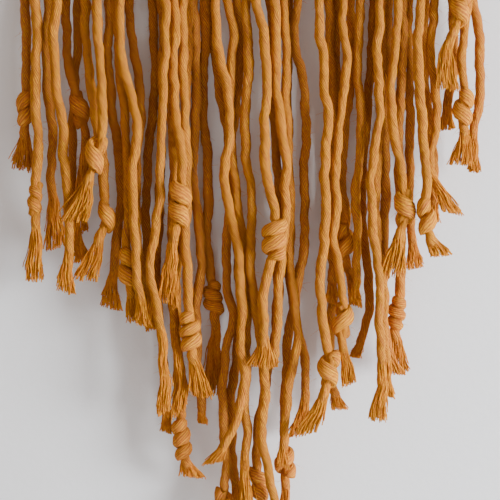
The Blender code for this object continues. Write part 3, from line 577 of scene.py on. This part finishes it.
class Length:
    """A length of cord being laid: its points, thickness, widening, groove depth, and its dye tone with the painted
    shade of the deeper layers.
    """

    def __init__(self):
        self.points = []
        self.columns = []

    def add(self, points, thick=1.0, swell=(1.0, 1.0, 1.0), groove=1.0, shade=0.5):
        """More of the cord, after what is already laid. Single values hold for all of its points."""
        points = np.atleast_2d(points)
        count = len(points)
        row = [np.broadcast_to(thick, count)[:, None], np.broadcast_to(swell, (count, 3)),
               np.broadcast_to(groove, count)[:, None], np.broadcast_to(shade, count)[:, None]]
        self.points.append(points)
        self.columns.append(np.hstack(row))

    def reverse(self):
        """The same length, run the other way."""
        turned = Length()
        turned.points = [part[::-1] for part in reversed(self.points)]
        turned.columns = [part[::-1] for part in reversed(self.columns)]
        return turned

    def extend(self, other):
        self.points += other.points
        self.columns += other.columns

    def lay(self, bundle, dice, sizes, start):
        """Sweeps the length as one twisted cord, a little uneven as cotton is."""
        points = np.concatenate(self.points)
        columns = np.concatenate(self.columns)
        count = len(points)
        steps = np.r_[0, np.linalg.norm(np.diff(points, axis=0), axis=1)]
        slack = columns[:, 3] ** KNOT_UNTWIST
        turn = -math.tau * np.cumsum(steps / slack) / sizes.twist_length + wander(dice, count, 0.35, 8)
        thick = columns[:, 0] * CORD_RADIUS * (1 + wander(dice, count, 0.09, 6) + wander(dice, count, 0.055, 2))
        heights = uneven_sides(dice, count, sizes.cord_sides)
        bundle.sweep(points, thick, sizes.cord_sides, columns[:, 5], turn, heights, start, columns[:, 1:4],
                     columns[:, 4])


def stations(upper, lower, spacing):
    """Evenly spread distances down, about this far apart."""
    return np.linspace(upper, lower, max(2, round((lower - upper) / spacing) + 1))


def hang_cord(cord, sizes):
    """One leg from its heading to inside its tail, with its overhand knot."""
    length = Length()
    top = HEAD_CENTRE * 2 + 1.4
    stop = cord.tail_start()
    if cord.knot:
        knot_top, knot_foot = cord.knot_span()
        length.add(cord.at(stations(top, knot_top, sizes.ring_spacing)[:-1]), cord.girth, shade=cord.shade)
        add_knot(length, cord, sizes)
        if stop - knot_foot > 2:
            length.add(cord.at(stations(knot_foot, stop, sizes.ring_spacing)[1:]), cord.girth, shade=cord.shade)
    else:
        length.add(cord.at(stations(top, stop, sizes.ring_spacing)), cord.girth, shade=cord.shade)
    core = stations(max(stop, -length.points[-1][-1][2]), cord.core_end(), sizes.ring_spacing)[1:]
    taper = np.linspace(0.95, 0.4, len(core))
    length.add(cord.at(core), taper, groove=1.3, shade=cord.shade)
    return length


def add_knot(length, cord, sizes):
    """The cord's own overhand knot, pulled tight, with the soft cord flattened in its turns."""
    middle, tall, wide, wraps, hand, turned = cord.knot
    shape, pitch = wrapped_knot(tall, wide, wraps, hand, turned)
    rope = spaced(shape, sizes.ring_spacing * 0.55)
    out = np.clip(rope[:, 3], 0, 1)
    points = cord.at(middle - rope[:, 2])
    points[:, :2] += rope[:, :2]
    inside = smooth_step((tall / 2 - np.abs(rope[:, 2])) / 3)
    core = cord.girth + (KNOT_SQUEEZE - cord.girth) * inside
    thin = core + (KNOT_THICK / CORD_RADIUS - core) * out
    high = core + (pitch * KNOT_FILL / 2 / CORD_RADIUS - core) * out
    length.add(points, 1.0, np.stack([thin, thin, high], axis=1), 0.75, cord.shade + 0.08)


def fray_tail(cord, dice, sizes, bundle):
    """The cord's threads below its knot, parting like a brush and cut ragged."""
    start, end = cord.tail_start() - 2.5, cord.down[-1]
    count = sizes.tail_threads
    rings = 3 * max(3, round((end - start) / sizes.ring_spacing / 4)) + 1
    u = np.linspace(0, 1, rings)
    slant = dice.uniform(-TAIL_SLANT, TAIL_SLANT)
    for k in range(count):
        around = k * GOLDEN_ANGLE
        reach = CORD_RADIUS * math.sqrt((k + 0.5) / count)
        place = k * GOLDEN_SHARE % 1 * 2 - 1 + dice.uniform(-0.12, 0.12)
        length = 1 - TAIL_RAGGED * dice.random() ** 2 + 0.04 * dice.random() + slant * place
        stray = dice.uniform(*STRAY_REACH) if dice.random() < STRAY_SHARE else 1.0
        down = start + (end - start) * length * u
        unwound = around - 1.8 * (1 - (1 - u) ** 2)
        waist = np.interp(u, (0, 0.12, 0.35), (0.6, 0.88, 0.9))
        bundled = np.stack([reach * waist * np.cos(unwound), -reach * waist * np.sin(unwound)], axis=1)
        spread = np.array([place * cord.half_end * stray, dice.uniform(-1, 1) * TAIL_HALF_DEPTH * stray])
        opened = np.clip((u - 0.08) / 0.92, 0, 1) ** (0.9 if cord.knot else 1.5)
        offset = bundled * (1 - opened)[:, None] + spread[None] * opened[:, None]
        phase, wave = dice.uniform(0, math.tau), dice.uniform(6.0, 11.0)
        kink = TAIL_KINK * np.minimum(1, u * 2)
        offset[:, 0] += kink * np.sin(math.tau * (down - start) / wave + phase)
        offset[:, 1] += kink * np.cos(math.tau * (down - start) / wave + phase)
        points = cord.at(np.minimum(down, end))
        points[:, :2] += offset
        points[:, 2] = -down
        thick = sizes.thread_diameter / 2 * dice.uniform(0.8, 1.2) * (1 + wander(dice, rings, 0.1, 3))
        shade = np.clip(cord.shade + 0.3 * np.minimum(1, 2 * u) + dice.uniform(-0.12, 0.12), 0, 1)
        bundle.sweep(points, thick, 4, shade, start=k * 11.0 + cord.number * 37.0)


def loose_fibre(cord, dice, bundle):
    """A fine hair that stands off a cord or a tail."""
    down = dice.uniform(HEAD_CENTRE * 2 + 3, cord.down[-1] - 1)
    angle = dice.uniform(0, math.tau)
    out = np.array([math.cos(angle), math.sin(angle), dice.uniform(-0.6, 0.6)])
    wide, deep = cord.half_sizes(np.array([down]))
    foot = cord.at(down) + (out[0] * wide[0] * 0.9, out[1] * deep[0] * 0.9, 0)
    droop = np.array([dice.uniform(-1, 1), dice.uniform(-1, 1), dice.uniform(-1.6, 0.2)])
    length = dice.uniform(0.8, 3.0)
    t = np.linspace(0, 1, 6)[:, None]
    path = foot + length * (t * out * 0.55 + t * t * droop * 0.55)
    bundle.sweep(path, np.linspace(0.06, 0.02, 6), 3, 0.5, start=down)


def fold_over(row, number, sizes):
    """The middle of a cord, folded over the holding cord with its fold across its own two legs."""
    middle = (number - (HEAD_KNOTS - 1) / 2) * HEAD_PITCH
    out = math.copysign(1, ROOT_Y[row])
    half = [(middle - x, ROOT_Y[row] + out * y, z) for x, y, z in FOLDED_LEG]
    other = [(2 * middle - x, y, z) for x, y, z in reversed(half[:-1])]
    return half + other


def tie_pair(row, number, pair, dice, sizes, bundle):
    """One cord from tail to tail: up one leg, over the holding cord and down the other leg."""
    left, right = (hang_cord(cord, sizes) for cord in pair)
    ends = [tuple(side.points[0][0]) for side in (left, right)]
    fold = spaced([ends[0]] + fold_over(row, number, sizes) + [ends[1]], sizes.ring_spacing * 0.62)[1:-1]
    away = np.minimum(np.arange(len(fold)), np.arange(len(fold))[::-1]) * sizes.ring_spacing * 0.62
    thick = HEAD_CORD_SHARE + (1 - HEAD_CORD_SHARE) * np.clip(1 - away / 4, 0, 1)
    whole = left.reverse()
    whole.add(fold, thick, groove=1.2, shade=np.linspace(pair[0].shade, pair[1].shade, len(fold)))
    whole.extend(right)
    whole.lay(bundle, dice, sizes, number * 53.0 + (700 if row == "back" else 0))


def holding_cord(row, dice, sizes, bundle):
    """The cord that a row is tied on, with its two cut ends."""
    reach = HEAD_KNOTS * HEAD_PITCH / 2 + 1.8
    x = np.linspace(-reach, reach, 109)
    sway = 0.15 * np.sin(x * 0.5)
    path = np.stack([x, ROOT_Y[row] + sway, HOLDING_Z + sway[::-1]], axis=1)
    length = Length()
    length.add(path, 0.8, shade=0.4)
    length.lay(bundle, dice, sizes, 0.0)


class Wire:
    """A shader socket that Python's arithmetic works on."""

    def __init__(self, graph, socket):
        self.graph = graph
        self.socket = socket

    def math(self, operation, first, second):
        return self.graph.node("ShaderNodeMath", {0: first, 1: second}, operation=operation)

    def __add__(self, other):
        return self.math("ADD", self, other)

    def __sub__(self, other):
        return self.math("SUBTRACT", self, other)

    def __mul__(self, other):
        return self.math("MULTIPLY", self, other)

    def __truediv__(self, other):
        return self.math("DIVIDE", self, other)

    def __pow__(self, other):
        return self.math("POWER", self, other)

    def __rsub__(self, other):
        return self.math("SUBTRACT", other, self)

    def __rtruediv__(self, other):
        return self.math("DIVIDE", other, self)

    __radd__ = __add__
    __rmul__ = __mul__


class Finish:
    """A material whose nodes are made one call at a time."""

    def __init__(self, name):
        self.material = bpy.data.materials.new(name)
        self.material.use_nodes = True
        self.tree = self.material.node_tree
        self.shader = self.tree.nodes["Principled BSDF"]
        self.output = self.tree.nodes["Material Output"]

    def node(self, kind, values=None, output=0, stops=None, **settings):
        """A node with its settings, then its sockets' values or links; gives one of its outputs."""
        made = self.tree.nodes.new(kind)
        for name, value in settings.items():
            setattr(made, name, value)
        if stops:
            ramp = made.color_ramp.elements
            while len(ramp) < len(stops):
                ramp.new(1.0)
            for element, (place, colour) in zip(ramp, stops):
                element.position = place
                element.color = colour
        for key, value in (values or {}).items():
            self.feed(made.inputs[key], value)
        return Wire(self, made.outputs[output])

    def feed(self, socket, value):
        """Links a wire to a socket, or sets the socket's own value."""
        if isinstance(value, Wire):
            self.tree.links.new(value.socket, socket)
        else:
            socket.default_value = value

    def mix(self, share, first, second):
        """Colour between two colours."""
        return self.node("ShaderNodeMix", {0: share, 6: first, 7: second}, 2, data_type="RGBA")

    def stretch(self, vector, factors):
        """A vector with each of its parts multiplied."""
        return self.node("ShaderNodeVectorMath", {0: vector, 1: factors}, operation="MULTIPLY")

    def noise(self, vector, scale, detail=2.0, rough=0.5):
        """Cloudy noise from 0 to 1."""
        values = {"Vector": vector, "Scale": scale, "Detail": detail, "Roughness": rough}
        return self.node("ShaderNodeTexNoise", values)

    def part(self, vector, axis):
        """One of a vector's three parts."""
        return self.node("ShaderNodeSeparateXYZ", {0: vector}, axis)

    def maths(self, operation, *values):
        """A sum that the signs on wires don't cover."""
        return self.node("ShaderNodeMath", dict(enumerate(values)), operation=operation)

    def clamp(self, value, low, high):
        """How far a value has come from low to high, kept within 0 and 1."""
        return self.node("ShaderNodeMapRange", {0: value, 1: low, 2: high, 3: 0.0, 4: 1.0}, clamp=True)


COTTONS = {}


def cotton(row):
    """Matte dyed cotton: fine threads round each cord, streaks along them and patches of deeper dye; with painted
    shade in the grooves between threads, on the deeper layers and on the back row, and a painted highlight on the
    thread crests.
    """
    if row in COTTONS:
        return COTTONS[row]
    look = bpy.context.scene.hanging_cotton
    sizes = bpy.context.scene.hanging_sizes
    finish = Finish("cotton_" + row)
    fibre = finish.node("ShaderNodeAttribute", {}, 1, attribute_name="fibre")
    groove = finish.node("ShaderNodeAttribute", {}, 2, attribute_name="groove")
    shade = finish.node("ShaderNodeAttribute", {}, 2, attribute_name="shade")
    place = finish.node("ShaderNodeTexCoord", {}, 3)
    streak = finish.noise(finish.stretch(fibre, (2.2, 2.2, 0.2)), 1.0, 3.0, 0.6)
    hair = finish.noise(finish.stretch(fibre, (5.0, 5.0, 0.8)), 1.0, 3.0, 0.7)
    lump = finish.noise(finish.stretch(fibre, (0.7, 0.7, 0.25)), 1.0, 1.0, 0.5)
    patch = finish.noise(place, 55.0, 2.0)
    around = finish.maths("ARCTAN2", finish.part(fibre, 1), finish.part(fibre, 0))
    thread = 0.5 + 0.5 * finish.maths("SINE", around * float(sizes.threads_around) + 9.0 * lump + 3.0 * streak)
    # Painted shade: darkest down between the threads
    groove_shade_mask = groove * (1.0 - thread) * (1.0 - thread)
    # Painted shade: the back row's copy of the cotton is painted darker and redder than the front row's
    own = look.front_colour[:] if row == "front" else look.back_row_shaded_colour[:]
    colour = finish.mix(finish.clamp(streak, 0.36, 0.62), look.deep_colour[:], own)
    # Redder dye in random patches and on tails and knots, with painted shade: layers further back are painted redder
    colour = finish.mix(finish.clamp(shade + 0.5 * patch, 0.5, 1.35), colour, look.warm_dye_and_layer_shade_colour[:])
    colour = finish.mix(finish.clamp(hair, 0.5, 0.66) * 0.75, colour, look.pale_fibre_and_highlight_colour[:])
    colour = finish.mix(finish.clamp(1.0 - hair, 0.52, 0.68) * 0.6, colour, look.dark_fibre_and_groove_shade_colour[:])
    fading = finish.clamp(finish.noise(finish.stretch(fibre, (1.3, 1.3, 0.3)), 1.0, 2.0), 0.35, 0.62)
    # Painted highlight: the crests of the threads are lightened towards the pale colour
    colour = finish.mix(thread * thread * groove * finish.clamp(hair, 0.35, 0.65) * 0.35, colour,
                        look.pale_fibre_and_highlight_colour[:])
    # Painted shade in the grooves between the threads
    colour = finish.mix(groove_shade_mask * (0.7 + 0.3 * fading) * look.groove_shade_strength, colour, look.dark_fibre_and_groove_shade_colour[:])
    height = thread * groove * (0.6 + 0.3 * fading) + hair * 1.6 + streak * 0.8
    bump = finish.node("ShaderNodeBump", {"Height": height, "Distance": 0.0004, "Strength": 1.0})
    finish.feed(finish.shader.inputs["Base Color"], colour)
    finish.feed(finish.shader.inputs["Roughness"], 0.8 + 0.2 * hair)
    finish.feed(finish.shader.inputs["Normal"], bump)
    finish.shader.inputs["Specular IOR Level"].default_value = 0.05
    finish.shader.inputs["Sheen Weight"].default_value = look.sheen
    finish.shader.inputs["Sheen Roughness"].default_value = 0.5
    finish.shader.inputs["Sheen Tint"].default_value = (1.0, 0.62, 0.25, 1.0)
    COTTONS[row] = finish.material
    return finish.material


def plaster(name, colour, see_through):
    """Matte painted plaster with a faint unevenness; the wall isn't seen from behind."""
    finish = Finish(name)
    place = finish.node("ShaderNodeTexCoord", {}, 3)
    cloud = finish.noise(place, 9.0, 3.0)
    grain = finish.noise(place, 420.0, 3.0)
    shaded = finish.mix(finish.clamp(cloud, 0.3, 0.7) * 0.35, colour, [c * 0.93 for c in colour[:3]] + [1.0])
    finish.feed(finish.shader.inputs["Base Color"], shaded)
    finish.shader.inputs["Roughness"].default_value = 0.95
    finish.shader.inputs["Specular IOR Level"].default_value = 0.1
    bump = finish.node("ShaderNodeBump", {"Height": grain, "Distance": 0.0003, "Strength": 0.25})
    finish.feed(finish.shader.inputs["Normal"], bump)
    if see_through:
        behind = finish.node("ShaderNodeNewGeometry", {}, 6)
        clear = finish.node("ShaderNodeBsdfTransparent")
        shader = Wire(finish, finish.shader.outputs[0])
        mixed = finish.node("ShaderNodeMixShader", {0: behind, 1: shader, 2: clear})
        finish.feed(finish.output.inputs["Surface"], mixed)
    return finish.material


def panel(name, size, place, turned, material):
    """A flat stage panel."""
    bm = bmesh.new()
    bmesh.ops.create_grid(bm, x_segments=1, y_segments=1, size=size / 2)
    bmesh.ops.rotate(bm, cent=(0, 0, 0), matrix=turned, verts=bm.verts)
    bmesh.ops.translate(bm, vec=place, verts=bm.verts)
    mesh = bpy.data.meshes.new(name)
    bm.to_mesh(mesh)
    bm.free()
    mesh.materials.append(material)
    made = bpy.data.objects.new(name, mesh)
    bpy.context.scene.collection.objects.link(made)
    return made


def lamp(name, place, target, size, power, colour):
    """A soft square lamp aimed at a point."""
    light = bpy.data.lights.new(name, "AREA")
    light.size = size
    light.energy = power
    light.color = colour
    made = bpy.data.objects.new(name, light)
    made.location = place
    made.rotation_euler = (Vector(target) - Vector(place)).to_track_quat("-Z", "Y").to_euler()
    bpy.context.scene.collection.objects.link(made)
    return made


class HangingSizes(bpy.types.PropertyGroup):
    """Sizes of the cord that are left to its look."""

    twist_length: FloatProperty(
        name="Twist length", description="Cord length of one full turn of its threads, in mm",
        default=19.0, min=8.0, max=60.0)
    threads_around: IntProperty(
        name="Threads around", description="Threads that show around a cord", default=16, min=6, max=20)
    cord_sides: IntProperty(
        name="Cord sides", description="Faces around a cord", default=20, min=8, max=32)
    ring_spacing: FloatProperty(
        name="Ring spacing", description="Distance between a cord's rings, in mm", default=1.3, min=0.5, max=4.0)
    tail_threads: IntProperty(
        name="Tail threads", description="Threads in each frayed tail", default=84, min=6, max=120)
    thread_diameter: FloatProperty(
        name="Thread", description="Diameter of an untwisted thread, in mm", default=0.33, min=0.2, max=1.2)
    loose_fibres: IntProperty(
        name="Loose fibres", description="Fine hairs on each cord", default=80, min=0, max=80)


class HangingCotton(bpy.types.PropertyGroup):
    """Colours of the dyed cotton, with its painted shade and painted highlight."""

    front_colour: FloatVectorProperty(
        name="Front", description="Lit cotton of the front row", subtype="COLOR", size=4,
        min=0.0, max=1.0, default=(0.73, 0.288, 0.007, 1.0))
    # Painted shade: the back row's cotton, darker and redder than the front row's, for hanging behind it
    back_row_shaded_colour: FloatVectorProperty(
        name="Back", description="Lit cotton of the back row", subtype="COLOR", size=4,
        min=0.0, max=1.0, default=(0.65, 0.205, 0.040, 1.0))
    deep_colour: FloatVectorProperty(
        name="Deep", description="Streaks that took more dye", subtype="COLOR", size=4,
        min=0.0, max=1.0, default=(0.60, 0.185, 0.042, 1.0))
    # Redder dye of tails and random patches, also painted on the deeper layers as shade
    warm_dye_and_layer_shade_colour: FloatVectorProperty(
        name="Warm", description="Tails and knots of a redder dye", subtype="COLOR", size=4,
        min=0.0, max=1.0, default=(0.69, 0.215, 0.022, 1.0))
    # Pale fibres at random, and also the painted highlight on the thread crests
    pale_fibre_and_highlight_colour: FloatVectorProperty(
        name="Pale", description="Fibres that took little dye", subtype="COLOR", size=4,
        min=0.0, max=1.0, default=(0.90, 0.49, 0.032, 1.0))
    # Dark fibres at random, and also the painted shade in the grooves between threads
    dark_fibre_and_groove_shade_colour: FloatVectorProperty(
        name="Groove", description="Colour down between the threads", subtype="COLOR", size=4,
        min=0.0, max=1.0, default=(0.33, 0.098, 0.034, 1.0))
    # Strength of the painted shade in the grooves between threads
    groove_shade_strength: FloatProperty(
        name="Thread lines", description="How dark the grooves between threads are", default=1.0,
        min=0.0, max=1.0, subtype="FACTOR")
    sheen: FloatProperty(
        name="Sheen", description="Soft shine of the fibre ends", default=0.04, min=0.0, max=1.0,
        subtype="FACTOR")


class HangingStage(bpy.types.PropertyGroup):
    """The wall, the floor and the light."""

    wall_colour: FloatVectorProperty(
        name="Wall", description="Pale wall behind the hanging", subtype="COLOR", size=4,
        min=0.0, max=1.0, default=(0.81, 0.84, 0.89, 1.0))
    key_power: FloatProperty(name="Key lamp", description="Power in watts", default=23.0, min=0.0, max=200.0)
    fill_power: FloatProperty(name="Fill lamp", description="Power in watts", default=1.2, min=0.0, max=200.0)
    back_power: FloatProperty(name="Back lamp", description="Power in watts", default=2.5, min=0.0, max=200.0)
    air_light: FloatProperty(
        name="Air light", description="Strength of the even light from all round", default=0.58, min=0.0, max=5.0)


HUNG = {}


def hung_rows():
    """Both rows of cords, settled once."""
    if not HUNG:
        HUNG.update(hang_rows())
    return HUNG


def build_rows(name, seed, make):
    """Makes one bundle for each row and adds it to the scene."""
    for number, (row, cords) in enumerate(hung_rows().items()):
        bundle = Bundle(row + "_" + name)
        make(row, cords, random.Random(seed + number), bundle)
        bundle.build(row)
    return {"FINISHED"}


class HANGING_OT_holding_cords(bpy.types.Operator):
    """Stretch the two cords that the rows are tied on"""

    bl_idname = "hanging.holding_cords"
    bl_label = "Holding cords"

    def execute(self, context):
        sizes = context.scene.hanging_sizes

        def make(row, cords, dice, bundle):
            holding_cord(row, dice, sizes, bundle)

        return build_rows("holding_cord", 11, make)


class HANGING_OT_cords(bpy.types.Operator):
    """Tie on the twisted cords, each folded over its holding cord, with their overhand knots"""

    bl_idname = "hanging.cords"
    bl_label = "Cords and knots"

    def execute(self, context):
        sizes = context.scene.hanging_sizes

        def make(row, cords, dice, bundle):
            for number in range(HEAD_KNOTS):
                pair = cords[2 * number:2 * number + 2]
                tie_pair(row, number, pair, dice, sizes, bundle)

        return build_rows("cords", 21, make)


class HANGING_OT_tails(bpy.types.Operator):
    """Part the cords' ends into their threads"""

    bl_idname = "hanging.tails"
    bl_label = "Frayed tails"

    def execute(self, context):
        sizes = context.scene.hanging_sizes

        def make(row, cords, dice, bundle):
            for cord in cords:
                fray_tail(cord, dice, sizes, bundle)

        return build_rows("tails", 61, make)


class HANGING_OT_fibres(bpy.types.Operator):
    """Add the fine hairs that stand off the cords"""

    bl_idname = "hanging.fibres"
    bl_label = "Loose fibres"

    def execute(self, context):
        sizes = context.scene.hanging_sizes

        def make(row, cords, dice, bundle):
            for cord in cords:
                for _ in range(sizes.loose_fibres):
                    loose_fibre(cord, dice, bundle)

        return build_rows("fibres", 81, make)


class HANGING_OT_stage(bpy.types.Operator):
    """Set up the wall, the floor, the lamps and the camera"""

    bl_idname = "hanging.stage"
    bl_label = "Stage"

    def execute(self, context):
        stage = context.scene.hanging_stage
        upright = Matrix.Rotation(math.radians(90), 3, "X")
        wall = panel("wall", 2.4, (0, WALL_Y, 0.0), upright, plaster("wall_plaster", stage.wall_colour[:], True))
        wall.visible_shadow = False
        panel("floor", 3.0, (0, 0, FLOOR_Z), Matrix.Identity(3), plaster("floor_plaster", stage.wall_colour[:], False))
        middle = (0, 0, PHOTO_MIDDLE)
        lamp("key", (0.84, -0.41, -0.18), middle, 0.40, stage.key_power, (0.97, 0.98, 0.97))
        lamp("fill", (-0.8, -0.9, 0.1), middle, 1.0, stage.fill_power, (1.0, 0.87, 0.76))
        lamp("back", (0.3, 0.9, 0.4), middle, 0.8, stage.back_power, (1.0, 1.0, 1.0))
        air = bpy.data.worlds.new("air")
        air.use_nodes = True
        background = air.node_tree.nodes["Background"]
        background.inputs["Color"].default_value = (1.0, 0.80, 0.64, 1.0)
        background.inputs["Strength"].default_value = stage.air_light
        context.scene.world = air
        lens = bpy.data.cameras.new("camera")
        lens.sensor_width = 36.0
        lens.lens = lens.sensor_width * CAMERA_DISTANCE / PHOTO_SIDE
        camera = bpy.data.objects.new("camera", lens)
        camera.location = (0, -CAMERA_DISTANCE, PHOTO_MIDDLE)
        camera.rotation_euler = (math.radians(90), 0, 0)
        context.scene.collection.objects.link(camera)
        context.scene.camera = camera
        return {"FINISHED"}


class HANGING_PT_pieces(bpy.types.Panel):
    """Sizes, colours and pieces of the hanging"""

    bl_idname = "HANGING_PT_pieces"
    bl_label = "Macrame Wall Hanging"
    bl_space_type = "VIEW_3D"
    bl_region_type = "UI"
    bl_category = "Hanging"

    def draw(self, context):
        for group in (context.scene.hanging_sizes, context.scene.hanging_cotton, context.scene.hanging_stage):
            box = self.layout.box()
            for name in group.__annotations__:
                box.prop(group, name)
        for operator in OPERATORS:
            self.layout.operator(operator.bl_idname)


GROUPS = {"hanging_sizes": HangingSizes, "hanging_cotton": HangingCotton, "hanging_stage": HangingStage}
OPERATORS = (HANGING_OT_stage, HANGING_OT_holding_cords, HANGING_OT_cords, HANGING_OT_tails,
             HANGING_OT_fibres)


def register():
    for name, group in GROUPS.items():
        bpy.utils.register_class(group)
        setattr(bpy.types.Scene, name, PointerProperty(type=group))
    for operator in OPERATORS:
        bpy.utils.register_class(operator)
    bpy.utils.register_class(HANGING_PT_pieces)


def unregister():
    bpy.utils.unregister_class(HANGING_PT_pieces)
    for operator in reversed(OPERATORS):
        bpy.utils.unregister_class(operator)
    for name, group in GROUPS.items():
        delattr(bpy.types.Scene, name)
        bpy.utils.unregister_class(group)


def main():
    register()
    bpy.ops.hanging.stage()
    bpy.ops.hanging.holding_cords()
    bpy.ops.hanging.cords()
    bpy.ops.hanging.tails()
    bpy.ops.hanging.fibres()


if __name__ == "__main__":
    main()
